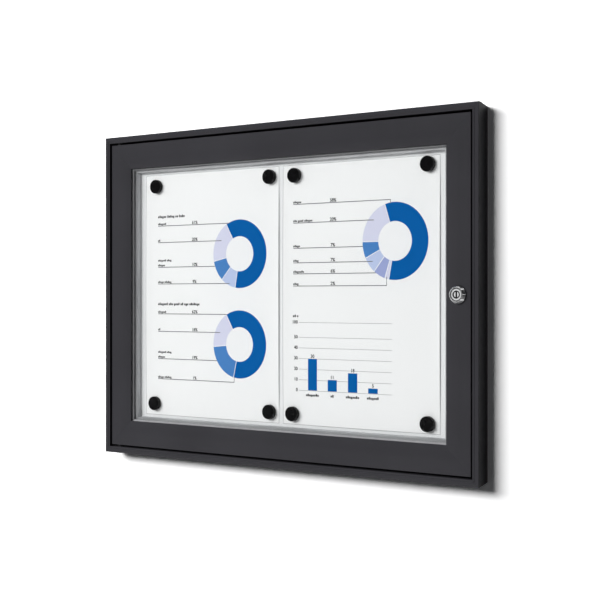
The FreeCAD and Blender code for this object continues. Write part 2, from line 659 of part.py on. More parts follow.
plug_front = "bezel_front - plug_sink"
plug = turned("lock_plug", [
    ("0", "cam_front"), ("0", f"{plug_front} - plug_dish"),
    ("plug_radius - plug_ring - plug_edge", f"{plug_front} - plug_dish"),
    ("plug_radius - plug_ring", plug_front), ("plug_radius - plug_edge", plug_front),
    ("plug_radius", f"{plug_front} - plug_edge"), ("plug_radius", "cam_front")])
tail = new_sketch(plug, "XY_Plane", "cam_back")
outline(tail, rectangle("-tail_square/2", "-tail_square/2", "tail_square/2", "tail_square/2"))
pad(plug, tail, "cam_thickness + cut_over")
keyway = new_sketch(plug, "XY_Plane", plug_front)
outline(keyway, rectangle("-keyway_width/2", "-keyway_length/2", "keyway_width/2", "keyway_length/2"))
pocket(plug, keyway, "keyway_depth")
thread = new_sketch(plug, "XY_Plane", "cam_back + cam_screw_length + cam_screw_play")
circle(thread, "0", "0", "cam_screw_shank + cam_screw_play")
pocket(plug, thread, "cam_screw_length + cut_over")
place(plug, LOCK_X, "0", "0", UPRIGHT)
keep(plug, "lock_plug")

# The cam points up when unlocked and a quarter turn brings its tip behind the strike
cam = new_body("lock_cam")
sketch = new_sketch(cam, "XY_Plane", "cam_back")
hook_run = "sqrt(cam_reach^2 - cam_arm^2)"
outline(sketch, [
    ("-cam_arm", "cam_eye"), ("-cam_arm", hook_run),
    ("cam_arm", hook_run, "cam_reach"), ("cam_arm", "cam_eye"), ("cam_eye", "0"),
    ("cam_eye/2", "-cam_eye*sqrt(3)/2", "cam_eye"), ("-cam_eye/2", "-cam_eye*sqrt(3)/2", "cam_eye"),
    ("-cam_eye", "0", "cam_eye")])
outline(sketch, rectangle("-tail_square/2 - tail_play", "-tail_square/2 - tail_play",
                          "tail_square/2 + tail_play", "tail_square/2 + tail_play"))
pad(cam, sketch, "cam_thickness")
place(cam, LOCK_X, "0", "0", UPRIGHT)
keep(cam, "lock_cam")

cam_screw = turned("cam_screw", [
    ("0", "cam_back - cam_screw_head"), ("0", "cam_back + cam_screw_length"),
    ("cam_screw_shank", "cam_back + cam_screw_length"), ("cam_screw_shank", "cam_back"),
    ("cam_screw_radius", "cam_back"), ("cam_screw_radius", "cam_back - cam_screw_head + screw_edge"),
    ("cam_screw_radius - screw_edge", "cam_back - cam_screw_head")])
place(cam_screw, LOCK_X, "0", "0", UPRIGHT)
keep(cam_screw, "cam_screw")

# Strike: a bent steel plate screwed to the inner face of the rim
strike_far = "rim_width + strike_thickness"
strike = new_body("strike_plate")
sketch = new_sketch(strike, "YZ_Plane", "case_height/2 - strike_length/2")
outline(sketch, [
    ("rim_width", "web_thickness"), ("rim_width", "tongue_front"),
    ("rim_width + strike_reach", "tongue_front"), ("rim_width + strike_reach", "tongue_back"),
    (strike_far, "tongue_back"), (strike_far, "web_thickness")])
pad(strike, sketch, "strike_length")
holes(strike, "XZ_Plane",
      [(x, "strike_screw_rise", SCREW_HOLE) for x in along("right", "strike_screw_spacing")],
      "strike_thickness + 2*cut_over", "-(rim_width - cut_over)")
place_on_side(strike, "right")
keep(strike, "strike_plate")

INTO_RIM = FreeCAD.Rotation(FreeCAD.Vector(0, 1, 0), -90)
strike_screws = []
for number, z in enumerate(("-strike_screw_spacing/2", "strike_screw_spacing/2"), start=1):
    screw = small_screw(f"strike_screw_{number}", "strike_thickness + screw_grip")
    place(screw, f"case_width/2 - ({strike_far})", "-strike_screw_rise", z, INTO_RIM)
    strike_screws.append(screw)
group("strike_screws", strike_screws)

# Rubber buffers that the closing side of the door comes to rest on
buffers = []
for number, z in enumerate(("-buffer_spacing/2", "buffer_spacing/2"), start=1):
    buffer = turned(f"door_buffer_{number}", [
        ("0", "stem_sink"), ("0", "door_back - buffer_gap"),
        ("buffer_radius - buffer_round", "door_back - buffer_gap"),
        ("buffer_radius", "door_back - buffer_gap - buffer_round", "buffer_round"),
        ("buffer_radius", "web_thickness"), ("buffer_stem", "web_thickness"),
        ("buffer_stem", "stem_sink")])
    place(buffer, "case_width/2 - buffer_inset", "0", z, UPRIGHT)
    buffers.append(buffer)
group("door_buffers", buffers)

doc.recompute()

# Nothing is written unless every feature and every sub-part came out sound
failed = [item.Name for item in doc.Objects if "Invalid" in item.State or "Error" in item.State]
if failed:
    raise RuntimeError(f"failed features: {', '.join(failed)}")
for part in parts:
    if part.Shape.isNull() or not part.Shape.isValid() or not part.Shape.Solids:
        raise RuntimeError(f"{part.Label} is not a sound solid")

os.makedirs("parts", exist_ok=True)
for part in parts:
    part.Shape.exportStep(os.path.join("parts", f"{part.Label}.step"))
    box = part.Shape.BoundBox
    print(f"{part.Label}: {len(part.Shape.Solids)} solid(s), {part.Shape.Volume:.1f} mm3,"
          f" {box.XLength:.1f} x {box.YLength:.1f} x {box.ZLength:.1f} mm")
print(f"{len(parts)} nodes")
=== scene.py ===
import bpy
import math
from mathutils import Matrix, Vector


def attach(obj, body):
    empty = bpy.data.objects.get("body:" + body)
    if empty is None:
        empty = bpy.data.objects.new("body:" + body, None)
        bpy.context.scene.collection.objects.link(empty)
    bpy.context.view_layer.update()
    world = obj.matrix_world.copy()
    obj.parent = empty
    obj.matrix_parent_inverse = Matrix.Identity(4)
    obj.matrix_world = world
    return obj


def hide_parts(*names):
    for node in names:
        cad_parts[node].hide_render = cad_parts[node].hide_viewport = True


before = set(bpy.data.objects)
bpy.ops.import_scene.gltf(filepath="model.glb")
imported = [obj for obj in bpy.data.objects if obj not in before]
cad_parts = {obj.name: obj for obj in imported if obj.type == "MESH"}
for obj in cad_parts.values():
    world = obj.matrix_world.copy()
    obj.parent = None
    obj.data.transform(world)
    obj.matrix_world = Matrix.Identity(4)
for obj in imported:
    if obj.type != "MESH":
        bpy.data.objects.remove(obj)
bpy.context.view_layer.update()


# Case frame. Four lengths of one extruded aluminium profile: a narrow hollow rim with a fine groove, and a thin
# web that lies on the wall. They are mitred, drilled for their screws, and powder coated in anthracite.
MM = 0.001
CASE_WIDTH = 536.0
CASE_HEIGHT = 396.0
CASE_DEPTH = 24.0
RIM_WIDTH = 7.5
RIM_WALL = 1.5
WEB = 1.6
WEB_REACH = 44.8
EDGE_ROUND = 0.5
SIDE_INSET = 2.7
SIDE_RUN = 21.0
GROOVE_EDGES = (4.8, 5.3)
GROOVE_FLOOR = 23.6
MITRE_JOINT = 0.05

# Each side of the board: its turn about Y, and the outer corner where it starts, in widths and heights
SIDES = {
    "bottom": (0, -0.5, -0.5),
    "right": (-90, 0.5, -0.5),
    "top": (180, 0.5, 0.5),
    "left": (90, -0.5, 0.5),
}

# Places of the holes across and up, from the middle of the board, their depths off the wall, and their radii
BEAD_FEET = {
    "bottom": ((-150, -162.5), (150, -162.5)),
    "right": ((232.5, -95), (232.5, 95)),
    "top": ((-150, 162.5), (150, 162.5)),
    "left": ((-232.5, -95), (-232.5, 95)),
}
WALL_SCREWS = {
    "bottom": ((-200, -178), (200, -178)),
    "top": ((-200, 178), (200, 178)),
}
BUFFERS = ((247, -130), (247, 130))
THROUGH_WEB = (-1, 3)
SMALL_HOLE = 1.5
WALL_SCREW_HOLE = 2.75
BUFFER_HOLE = 1.95
HINGE = (-249.0, -17.0)
HINGE_HOLE = 1.65
PIN_IN_RIM = {"bottom": (-192.5, -189.5), "top": (192.5, 189.5)}
STRIKE_SCREWS = (-11.5, 11.5)
STRIKE_SCREW_ENDS = ((263, -4.4), (259, -4.4))


def arc(centre, radius, first, last, steps=5):
    """Corners along a rounding, between two angles in degrees."""
    angles = (math.radians(first + (last - first) * step / steps) for step in range(steps + 1))
    return [(centre[0] + radius * math.cos(a), centre[1] + radius * math.sin(a)) for a in angles]


def draw(name, outlines, across, up):
    """Draws closed outlines corner by corner, in millimetres along two directions. Stays in edit mode."""
    bpy.ops.object.select_all(action="DESELECT")
    bpy.ops.mesh.primitive_plane_add(size=MM)
    piece = bpy.context.object
    piece.name = piece.data.name = name
    bpy.ops.object.mode_set(mode="EDIT")
    bpy.ops.mesh.select_all(action="SELECT")
    bpy.ops.mesh.merge(type="CENTER")
    here = Vector((0, 0, 0))
    for number, outline in enumerate(outlines):
        for step, corner in enumerate(outline):
            there = (Vector(across) * corner[0] + Vector(up) * corner[1]) * MM
            move = {"value": there - here}
            if step:
                bpy.ops.mesh.extrude_region_move(TRANSFORM_OT_translate=move)
            elif number:
                bpy.ops.mesh.duplicate_move(TRANSFORM_OT_translate=move)
            else:
                bpy.ops.transform.translate(**move)
            here = there
    bpy.ops.mesh.select_all(action="SELECT")
    bpy.ops.mesh.remove_doubles(threshold=0.001 * MM)
    return piece


def settle(piece, place=(0, 0, 0), turn=(0, 0, 0)):
    """Puts a piece in its place and leaves the place in its mesh."""
    bpy.ops.object.select_all(action="DESELECT")
    piece.select_set(True)
    bpy.context.view_layer.objects.active = piece
    piece.location = place
    piece.rotation_euler = turn
    bpy.ops.object.transform_apply(location=True, rotation=True, scale=True)
    return piece


def saw_member(name, side, outlines):
    """A length of profile, sawn at 45 degrees at both ends and laid along its side of the board."""
    turn, across, up = SIDES[side]
    length = (CASE_WIDTH if side in ("bottom", "top") else CASE_HEIGHT) * MM
    closed = [outline + outline[:1] for outline in outlines]
    piece = draw(name, closed, across=(0, 0, 1), up=(0, -1, 0))
    bpy.ops.mesh.fill()
    bpy.ops.mesh.extrude_region_move(TRANSFORM_OT_translate={"value": (length, 0, 0)})
    for cut, way in ((MITRE_JOINT * MM, -1), (length - MITRE_JOINT * MM, 1)):
        bpy.ops.mesh.select_all(action="SELECT")
        bpy.ops.mesh.bisect(plane_co=(cut, 0, 0), plane_no=(way, 0, 1), use_fill=True, clear_outer=True)
    bpy.ops.mesh.select_all(action="SELECT")
    bpy.ops.mesh.normals_make_consistent(inside=False)
    bpy.ops.object.mode_set(mode="OBJECT")
    corner = (across * CASE_WIDTH * MM, 0, up * CASE_HEIGHT * MM)
    return settle(piece, corner, (0, math.radians(turn), 0))


def cut_away(piece, cutter):
    """Cuts the shape of one piece out of another."""
    cut = piece.modifiers.new("cut", "BOOLEAN")
    cut.object = cutter
    cut.solver = "EXACT"
    bpy.ops.object.select_all(action="DESELECT")
    bpy.context.view_layer.objects.active = piece
    bpy.ops.object.modifier_apply(modifier=cut.name)
    bpy.data.objects.remove(cutter)


def drill(piece, start, end, radius):
    """A round hole through a piece, between two points in millimetres."""
    start, end = Vector(start) * MM, Vector(end) * MM
    way = end - start
    bpy.ops.object.select_all(action="DESELECT")
    bpy.ops.mesh.primitive_cylinder_add(
        vertices=48, radius=radius * MM, depth=way.length, location=(start + end) / 2,
        rotation=way.to_track_quat("Z", "Y").to_euler())
    cut_away(piece, bpy.context.object)


def drill_row(piece, places, depths, radius):
    """Holes square to the wall, at their places across and up, between two depths."""
    for x, z in places:
        drill(piece, (x, -depths[0], z), (x, -depths[1], z), radius)


def close_up(piece):
    """Fills the small faces that a cut can leave out."""
    bpy.ops.object.select_all(action="DESELECT")
    bpy.context.view_layer.objects.active = piece
    bpy.ops.object.mode_set(mode="EDIT")
    bpy.ops.mesh.select_all(action="DESELECT")
    bpy.ops.mesh.select_non_manifold()
    bpy.ops.mesh.fill_holes(sides=8)
    bpy.ops.mesh.select_all(action="SELECT")
    bpy.ops.mesh.normals_make_consistent(inside=False)
    bpy.ops.object.mode_set(mode="OBJECT")


def smooth(piece, angle=30.0):
    """Shades the rounded parts of a piece smooth and keeps its flats flat."""
    bpy.ops.object.select_all(action="DESELECT")
    piece.select_set(True)
    bpy.context.view_layer.objects.active = piece
    bpy.ops.object.shade_smooth_by_angle(angle=math.radians(angle))
    flats = piece.modifiers.new("flats", "WEIGHTED_NORMAL")
    flats.keep_sharp = True
    bpy.ops.object.modifier_apply(modifier=flats.name)


def add(material, kind, inputs, **settings):
    """A node of a material. An input is a value, or the output of another node."""
    made = material.node_tree.nodes.new("ShaderNode" + kind)
    for name, value in settings.items():
        setattr(made, name, value)
    return feed(material, made, inputs)


def feed(material, made, inputs):
    """Sets the inputs of a node."""
    for name, value in inputs.items():
        if isinstance(value, bpy.types.NodeSocket):
            material.node_tree.links.new(value, made.inputs[name])
        else:
            made.inputs[name].default_value = value
    return made


def new_material(name):
    """A material, the place on the piece that its patterns follow, and its shader."""
    material = bpy.data.materials.new(name)
    material.use_nodes = True
    place = add(material, "TexCoord", {}).outputs["Object"]
    return material, place, material.node_tree.nodes["Principled BSDF"]


def ramp(material, factor, stops):
    """Colours along a value, each stop a place from 0 to 1 and a colour."""
    made = add(material, "ValToRGB", {"Fac": factor})
    elements = made.color_ramp.elements
    while len(elements) < len(stops):
        elements.new(0.5)
    for element, (stop, colour) in zip(elements, stops):
        element.position = stop
        element.color = (*colour, 1)
    return made.outputs["Color"]


def grain(material, place, scale, low, high):
    """A value that wanders between low and high over the surface."""
    noise = add(material, "TexNoise", {"Vector": place, "Scale": scale, "Detail": 2.0})
    return add(material, "MapRange", {
        "Value": noise.outputs["Fac"], "From Min": 0.3, "From Max": 0.7,
        "To Min": low, "To Max": high}).outputs["Result"]


def bump(material, height, distance, strength=1.0):
    """Small hills, their height in metres."""
    return add(material, "Bump", {"Height": height, "Distance": distance, "Strength": strength}).outputs["Normal"]


def skin(material, place, scale, distance):
    """The fine unevenness of a surface."""
    return bump(material, grain(material, place, scale, 0.0, 1.0), distance)


# The powder coat is a fine orange peel, a little cloudy in gloss and tone
powder_coat, place, shader = new_material("anthracite_powder_coat")
cloud = add(powder_coat, "TexNoise", {"Vector": place, "Scale": 9.0, "Detail": 3.0})
feed(powder_coat, shader, {
    "Base Color": ramp(powder_coat, cloud.outputs["Fac"], (
        (0.3, (0.042, 0.041, 0.047)), (0.7, (0.05, 0.049, 0.056)))),
    "Roughness": grain(powder_coat, place, 60.0, 0.36, 0.44),
    "Normal": skin(powder_coat, place, 1400.0, 0.00002),
})

case_outline = [
    (SIDE_INSET, 0), (0, SIDE_RUN), *arc((EDGE_ROUND, CASE_DEPTH - EDGE_ROUND), EDGE_ROUND, 180, 90),
    (GROOVE_EDGES[0], CASE_DEPTH), (GROOVE_EDGES[0], GROOVE_FLOOR), (GROOVE_EDGES[1], GROOVE_FLOOR),
    (GROOVE_EDGES[1], CASE_DEPTH), *arc((RIM_WIDTH - EDGE_ROUND, CASE_DEPTH - EDGE_ROUND), EDGE_ROUND, 90, 0),
    (RIM_WIDTH, WEB), (WEB_REACH, WEB), (WEB_REACH, 0),
]
case_hollow = [
    (RIM_WALL + SIDE_INSET * (1 - WEB / SIDE_RUN), WEB), (RIM_WALL, SIDE_RUN), (RIM_WALL, CASE_DEPTH - RIM_WALL),
    (RIM_WIDTH - RIM_WALL, CASE_DEPTH - RIM_WALL), (RIM_WIDTH - RIM_WALL, WEB),
]
for side in SIDES:
    case = saw_member(f"case_{side}", side, [case_outline, case_hollow])
    drill_row(case, BEAD_FEET[side], THROUGH_WEB, SMALL_HOLE)
    if side in WALL_SCREWS:
        drill_row(case, WALL_SCREWS[side], THROUGH_WEB, WALL_SCREW_HOLE)
        start, end = PIN_IN_RIM[side]
        drill(case, (*HINGE, start), (*HINGE, end), HINGE_HOLE)
    if side == "right":
        start, end = STRIKE_SCREW_ENDS
        for z in STRIKE_SCREWS:
            drill(case, (*start, z), (*end, z), SMALL_HOLE)
        drill_row(case, BUFFERS, THROUGH_WEB, BUFFER_HOLE)
    close_up(case)
    case.data.materials.append(powder_coat)
    smooth(case)
    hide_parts(f"case_frame_{side}")
    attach(case, "case")


# Corner angles of the case. Bent steel strip, zinc plated. One is pushed into the hollow of the rim at each mitre
# and pulls the two members together.
def wear(node, material):
    """Gives a CAD node that is shown as it is its finish."""
    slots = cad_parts[node].data.materials
    slots.clear()
    slots.append(material)


zinc_plate, place, shader = new_material("zinc_plate")
spangle = add(zinc_plate, "TexVoronoi", {"Vector": place, "Scale": 320.0})
feed(zinc_plate, shader, {
    "Base Color": ramp(zinc_plate, spangle.outputs["Distance"], (
        (0.0, (0.5, 0.51, 0.53)), (1.0, (0.62, 0.62, 0.63)))),
    "Metallic": 1.0,
    "Roughness": grain(zinc_plate, place, 500.0, 0.3, 0.45),
    "Normal": skin(zinc_plate, place, 2200.0, 0.00001),
})
for side in SIDES:
    wear(f"case_corner_key_{side}", zinc_plate)


# Panel. A stiff wood fibre board with a thin sheet of white enamelled steel on its front, so that magnets hold;
# it lies on the webs of the case.
PANEL = (453.4, 313.4)
CORE_BACK = WEB
CORE_FRONT = 5.8
FACING_FRONT = 6.5


def mottle(material, place, scale, dark, light):
    """A colour that wanders between two tones over the surface."""
    return ramp(material, grain(material, place, scale, 0.0, 1.0), ((0.0, dark), (1.0, light)))


def cut_plate(name, width, height, back, front, corner, edge):
    """A flat plate off the wall, with rounded corners and slightly broken edges."""
    half_x, half_z = width / 2 - corner, height / 2 - corner
    outline = [*arc((half_x, half_z), corner, 90, 0), *arc((half_x, -half_z), corner, 0, -90),
               *arc((-half_x, -half_z), corner, -90, -180), *arc((-half_x, half_z), corner, 180, 90)]
    plate = draw(name, [outline + outline[:1]], across=(1, 0, 0), up=(0, 0, 1))
    bpy.ops.mesh.edge_face_add()
    bpy.ops.mesh.extrude_region_move(TRANSFORM_OT_translate={"value": (0, -(front - back) * MM, 0)})
    bpy.ops.mesh.select_all(action="SELECT")
    bpy.ops.mesh.normals_make_consistent(inside=False)
    bpy.ops.object.mode_set(mode="OBJECT")
    rims = plate.modifiers.new("rims", "BEVEL")
    rims.width = edge * MM
    rims.segments = 2
    rims.limit_method = "ANGLE"
    rims.angle_limit = math.radians(60)
    bpy.ops.object.modifier_apply(modifier=rims.name)
    return settle(plate, (0, -back * MM, 0))


fibre_board, place, shader = new_material("fibre_board")
stretch = add(fibre_board, "Mapping", {"Vector": place, "Scale": (1.0, 1.0, 0.35)})
fibres = add(fibre_board, "TexNoise", {
    "Vector": stretch.outputs["Vector"], "Scale": 900.0, "Detail": 6.0, "Distortion": 0.6})
feed(fibre_board, shader, {
    "Base Color": ramp(fibre_board, fibres.outputs["Fac"], (
        (0.3, (0.2, 0.125, 0.07)), (0.55, (0.33, 0.22, 0.135)), (0.75, (0.42, 0.3, 0.2)))),
    "Roughness": 0.8,
    "Normal": bump(fibre_board, fibres.outputs["Fac"], 0.0002, 0.6),
})
core = cut_plate("panel_board", *PANEL, CORE_BACK, CORE_FRONT, corner=1.0, edge=0.15)
core.data.materials.append(fibre_board)
smooth(core)
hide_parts("panel_core")
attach(core, "case")

white_enamel, place, shader = new_material("white_enamel")
feed(white_enamel, shader, {
    "Base Color": mottle(white_enamel, place, 12.0, (0.84, 0.85, 0.86), (0.87, 0.88, 0.89)),
    "Roughness": grain(white_enamel, place, 40.0, 0.28, 0.36),
    "Normal": skin(white_enamel, place, 500.0, 0.00001),
})
facing = cut_plate("panel_front", *PANEL, CORE_FRONT, FACING_FRONT, corner=1.0, edge=0.12)
facing.data.materials.append(white_enamel)
smooth(facing)
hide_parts("panel_facing")
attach(facing, "case")


# Panel beads. A silver anodised profile goes round the panel: it grips its edge, shows as a bright ring in the
# window, and has a screwed foot on the web of the case.
BEAD_FOOT = 32.0
FOOT_FRONT = 2.9
BEAD_OUTSIDE = 39.0
BEAD_INSIDE = 46.25
BEAD_FRONT = 13.2
BEAD_WALL = 1.3
BEAD_ROUND = 2.4
THROUGH_FOOT = (1, 4)

anodised, place, shader = new_material("silver_anodised")
feed(anodised, shader, {
    "Base Color": mottle(anodised, place, 25.0, (0.5, 0.505, 0.52), (0.56, 0.565, 0.58)),
    "Metallic": 0.45,
    "Roughness": grain(anodised, place, 700.0, 0.34, 0.44),
    "Normal": skin(anodised, place, 3000.0, 0.000006),
})
bead_outline = [
    (BEAD_FOOT, WEB), (BEAD_FOOT, FOOT_FRONT), (BEAD_OUTSIDE, FOOT_FRONT),
    *arc((BEAD_OUTSIDE + EDGE_ROUND, BEAD_FRONT - EDGE_ROUND), EDGE_ROUND, 180, 90),
    *arc((BEAD_INSIDE - BEAD_ROUND, BEAD_FRONT - BEAD_ROUND), BEAD_ROUND, 90, 0, 8),
    (BEAD_INSIDE, FACING_FRONT), (BEAD_INSIDE - BEAD_WALL, FACING_FRONT),
    (BEAD_INSIDE - BEAD_WALL, BEAD_FRONT - BEAD_WALL), (BEAD_OUTSIDE + BEAD_WALL, BEAD_FRONT - BEAD_WALL),
    (BEAD_OUTSIDE + BEAD_WALL, WEB),
]
for side in SIDES:
    bead = saw_member(f"bead_{side}", side, [bead_outline])
    drill_row(bead, BEAD_FEET[side], THROUGH_FOOT, SMALL_HOLE)
    bead.data.materials.append(anodised)
    smooth(bead)
    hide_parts(f"panel_bead_{side}")
    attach(bead, "case")


# Bead screws. Eight small pan head screws with a cross recess, in zinc plated steel. They hold the feet of the
# beads to the web of the case.
SCREW_HEAD = 2.5
SCREW_HEAD_TOP = 1.5
SCREW_SHANK = 1.4
# How far a cutter stands out of the face that it cuts
CLEAR = 0.5


def turn_piece(name, half_section, steps=64):
    """Turns a half section, given as radius and height, round its own axis. The height points off the wall."""
    piece = draw(name, [half_section], across=(1, 0, 0), up=(0, 0, 1))
    bpy.ops.mesh.spin(steps=steps, angle=2 * math.pi, center=(0, 0, 0), axis=(0, 0, 1))
    bpy.ops.mesh.select_all(action="SELECT")
    bpy.ops.mesh.remove_doubles(threshold=0.002 * MM)
    bpy.ops.mesh.normals_make_consistent(inside=False)
    bpy.ops.object.mode_set(mode="OBJECT")
    return settle(piece, turn=(math.pi / 2, 0, 0))


def cut_cross(piece, length, width, top, depth):
    """A cross recess that narrows towards its floor."""
    a, b = length / 2, width / 2
    outline = [(-b, -a), (-b, -b), (-a, -b), (-a, b), (-b, b), (-b, a), (b, a), (b, b), (a, b), (a, -b), (b, -b),
               (b, -a)]
    cross = draw("cross", [outline + outline[:1]], across=(1, 0, 0), up=(0, 0, 1))
    bpy.ops.mesh.edge_face_add()
    bpy.ops.mesh.extrude_region_move(TRANSFORM_OT_translate={"value": (0, -(depth + CLEAR) * MM, 0)})
    flare = 1.5
    bpy.ops.transform.resize(value=(flare, 1.0, flare))
    bpy.ops.mesh.select_all(action="SELECT")
    bpy.ops.mesh.normals_make_consistent(inside=False)
    bpy.ops.object.mode_set(mode="OBJECT")
    cut_away(piece, settle(cross, (0, -(top - depth) * MM, 0)))


def copy_to(piece, name, place):
    """A copy with its own mesh, put in its place in millimetres."""
    twin = piece.copy()
    twin.data = piece.data.copy()
    twin.name = twin.data.name = name
    bpy.context.scene.collection.objects.link(twin)
    return settle(twin, Vector(place) * MM)


def join(name, pieces):
    """Makes one object of several."""
    bpy.ops.object.select_all(action="DESELECT")
    for piece in pieces:
        piece.select_set(True)
    bpy.context.view_layer.objects.active = pieces[0]
    bpy.ops.object.join()
    pieces[0].name = pieces[0].data.name = name
    return pieces[0]


screw = turn_piece("screw", [
    (0, SCREW_HEAD_TOP), (1.1, 1.46), (1.8, 1.3), (2.25, 1.0), (SCREW_HEAD, 0.55), (SCREW_HEAD, 0.1), (2.4, 0),
    (SCREW_SHANK, 0), (SCREW_SHANK, 0.5 - FOOT_FRONT), (SCREW_SHANK - 0.5, -FOOT_FRONT), (0, -FOOT_FRONT)], steps=32)
cut_cross(screw, length=1.9, width=0.55, top=SCREW_HEAD_TOP, depth=0.9)
bead_screws = join("bead_screw_set", [
    copy_to(screw, "bead_screw", (x, -FOOT_FRONT, z)) for side in SIDES for x, z in BEAD_FEET[side]])
bpy.data.objects.remove(screw)
bead_screws.data.materials.append(zinc_plate)
smooth(bead_screws, angle=35)
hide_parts("bead_screws")
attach(bead_screws, "case")


# Two sheets of office paper, A4 upright. They lie flat under their magnets, and their edges stand a little off
# the panel between them.
SHEET = (210.0, 297.0)
SHEET_MIDDLE = 107.85
SHEET_BACK = 6.6
SHEET_THICK = 0.15
EDGE_BAND = 14.0
SIDE_LIFT = 1.0
END_LIFT = 0.7
PINNED_CORNER = 18.0
# Width of the band of painted shade round the edge of each sheet
EDGE_SHADE_BAND = 0.5

paper, place, shader = new_material("office_paper")
pulp = add(paper, "TexNoise", {"Vector": place, "Scale": 2500.0, "Detail": 4.0})
feed(paper, shader, {
    "Base Color": ramp(paper, pulp.outputs["Fac"], ((0.35, (0.895, 0.9, 0.905)), (0.65, (0.93, 0.935, 0.94)))),
    "Roughness": 0.85,
    "Specular IOR Level": 0.2,
    "Normal": bump(paper, pulp.outputs["Fac"], 0.00003),
})
# Painted shade: a grey band round the edge of each sheet, and on its thin edge faces, stands in for the shade line
# along the sheets' edges.
painted_edge_shade, place, shader = new_material("paper_edge_painted_shade")
feed(painted_edge_shade, shader, {
    "Base Color": mottle(painted_edge_shade, place, 900.0, (0.42, 0.42, 0.43), (0.5, 0.5, 0.51)),
    "Roughness": 0.9,
})


def lift_edges(x, z):
    """How far the paper stands off, from its own middle: nothing inside its margins or at its corners."""
    lift = 0.0
    for along, across, half_along, half_across, height in (
            (z, x, SHEET[1] / 2, SHEET[0] / 2, SIDE_LIFT),
            (x, z, SHEET[0] / 2, SHEET[1] / 2, END_LIFT)):
        margin = max(0.0, 1 - (half_across - abs(across)) / EDGE_BAND)
        free = max(0.0, 1 - (along / (half_along - PINNED_CORNER)) ** 2)
        lift += height * margin ** 2 * free ** 0.7
    return lift


for side, middle in (("left", -SHEET_MIDDLE), ("right", SHEET_MIDDLE)):
    bpy.ops.object.select_all(action="DESELECT")
    bpy.ops.mesh.primitive_grid_add(x_subdivisions=60, y_subdivisions=80, size=1)
    sheet = bpy.context.object
    sheet.name = sheet.data.name = f"paper_{side}"
    sheet.scale = (SHEET[0] * MM, SHEET[1] * MM, 1)
    settle(sheet, turn=(math.pi / 2, 0, 0))
    for vertex in sheet.data.vertices:
        vertex.co.y = -lift_edges(vertex.co.x / MM, vertex.co.z / MM) * MM
    bpy.ops.object.mode_set(mode="EDIT")
    bpy.ops.mesh.select_all(action="SELECT")
    bpy.ops.mesh.inset(thickness=EDGE_SHADE_BAND * MM, depth=0)
    bpy.ops.object.mode_set(mode="OBJECT")
    sheet.data.materials.append(paper)
    sheet.data.materials.append(painted_edge_shade)
    # Faces in the band round the edge get the painted shade
    for face in sheet.data.polygons:
        rim = max(abs(face.center.x) - SHEET[0] * MM / 2, abs(face.center.z) - SHEET[1] * MM / 2)
        face.material_index = 1 if rim > -0.9 * EDGE_SHADE_BAND * MM else 0
    body = sheet.modifiers.new("thickness", "SOLIDIFY")
    body.thickness = SHEET_THICK * MM
    body.offset = 1
    body.material_offset_rim = 1
    bpy.ops.object.modifier_apply(modifier=body.name)
    settle(sheet, (middle * MM, -SHEET_BACK * MM, 0))
    smooth(sheet, angle=40)
    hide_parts(f"sheet_{side}")
    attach(sheet, "case")


# Print on the sheets. Plain charts in blues: rings, rows with leader lines, and bars over a scale. Words are runs
# of small blocks, and only the charts' own numbers can be read.
INK_FRONT = SHEET_BACK + SHEET_THICK
INK_THICK = 0.03
LINE_THICK = 0.045
LEADER_WIDTH = 0.9
SCALE_LINE_WIDTH = 0.5
RING_GAP = 0.4
FIGURE_SIZE = 5.3
FIGURE_WEIGHT = 0.155
HEADING_LETTER = 2.2
ROW_LETTER = 1.8
AXIS_LETTER = 2.1
# Foot and top of the blocks of a word, in heights of a small letter
BLOCKS = ((0, 1), (0, 1.4), (0, 1), (-0.4, 1), (0, 1), (0, 1), (0, 1.4))

INK_COLOURS = {
    "strong_blue": (0.0, 0.104, 0.37),
    "middle_blue": (0.07, 0.22, 0.53),
    "violet_blue": (0.33, 0.38, 0.65),
    "pale_blue": (0.49, 0.57, 0.79),
    "mist_blue": (0.66, 0.67, 0.82),
    "dark_grey": (0.012, 0.012, 0.014),
    "line_grey": (0.16, 0.16, 0.17),
    "scale_grey": (0.38, 0.38, 0.39),
}
inks = {}
for name, colour in INK_COLOURS.items():
    inks[name], place, shader = new_material(f"ink_{name}")
    dots = add(inks[name], "TexNoise", {"Vector": place, "Scale": 2200.0, "Detail": 3.0})
    thin = tuple(1.08 * value for value in colour)
    feed(inks[name], shader, {
        "Base Color": ramp(inks[name], dots.outputs["Fac"], ((0.4, colour), (0.75, thin))),
        "Roughness": 0.7,
        "Specular IOR Level": 0.05,
    })


def print_shapes(outlines, ink, thick=INK_THICK):
    """Flat printed shapes, from their corners in millimetres on the board."""
    shape = draw("print", [outline + outline[:1] for outline in outlines], across=(1, 0, 0), up=(0, 0, 1))
    bpy.ops.mesh.fill()
    bpy.ops.mesh.extrude_region_move(TRANSFORM_OT_translate={"value": (0, -thick * MM, 0)})
    bpy.ops.mesh.select_all(action="SELECT")
    bpy.ops.mesh.normals_make_consistent(inside=False)
    bpy.ops.object.mode_set(mode="OBJECT")
    shape.data.materials.append(inks[ink])
    return settle(shape, (0, -INK_FRONT * MM, 0))


def box(left, low, right, high):
    """The corners of an upright block."""
    return [(left, low), (left, high), (right, high), (right, low)]


def print_ring(centre, outer, inner, start, parts):
    """A ring of parts, each its share of the round, with a fine white gap between them."""
    shapes = []
    for share, ink in parts:
        end = start - 360 * share
        near, far = math.degrees(RING_GAP / inner), math.degrees(RING_GAP / outer)
        steps = max(4, round(56 * share))
        shapes.append(print_shapes([
            arc(centre, outer, start - far, end + far, steps) + arc(centre, inner, end + near, start - near, steps)],
            ink))
        start = end
    return shapes


def print_words(left, foot, letters, height):
    """Words of so many letters each, as runs of blocks."""
    blocks = []
    for count in letters:
        for _ in range(count):
            low, high = BLOCKS[len(blocks) % len(BLOCKS)]
            blocks.append(box(left, foot + low * height, left + 0.85 * height, foot + high * height))
            left += 1.08 * height
        left += 0.6 * height
    return print_shapes(blocks, "dark_grey")


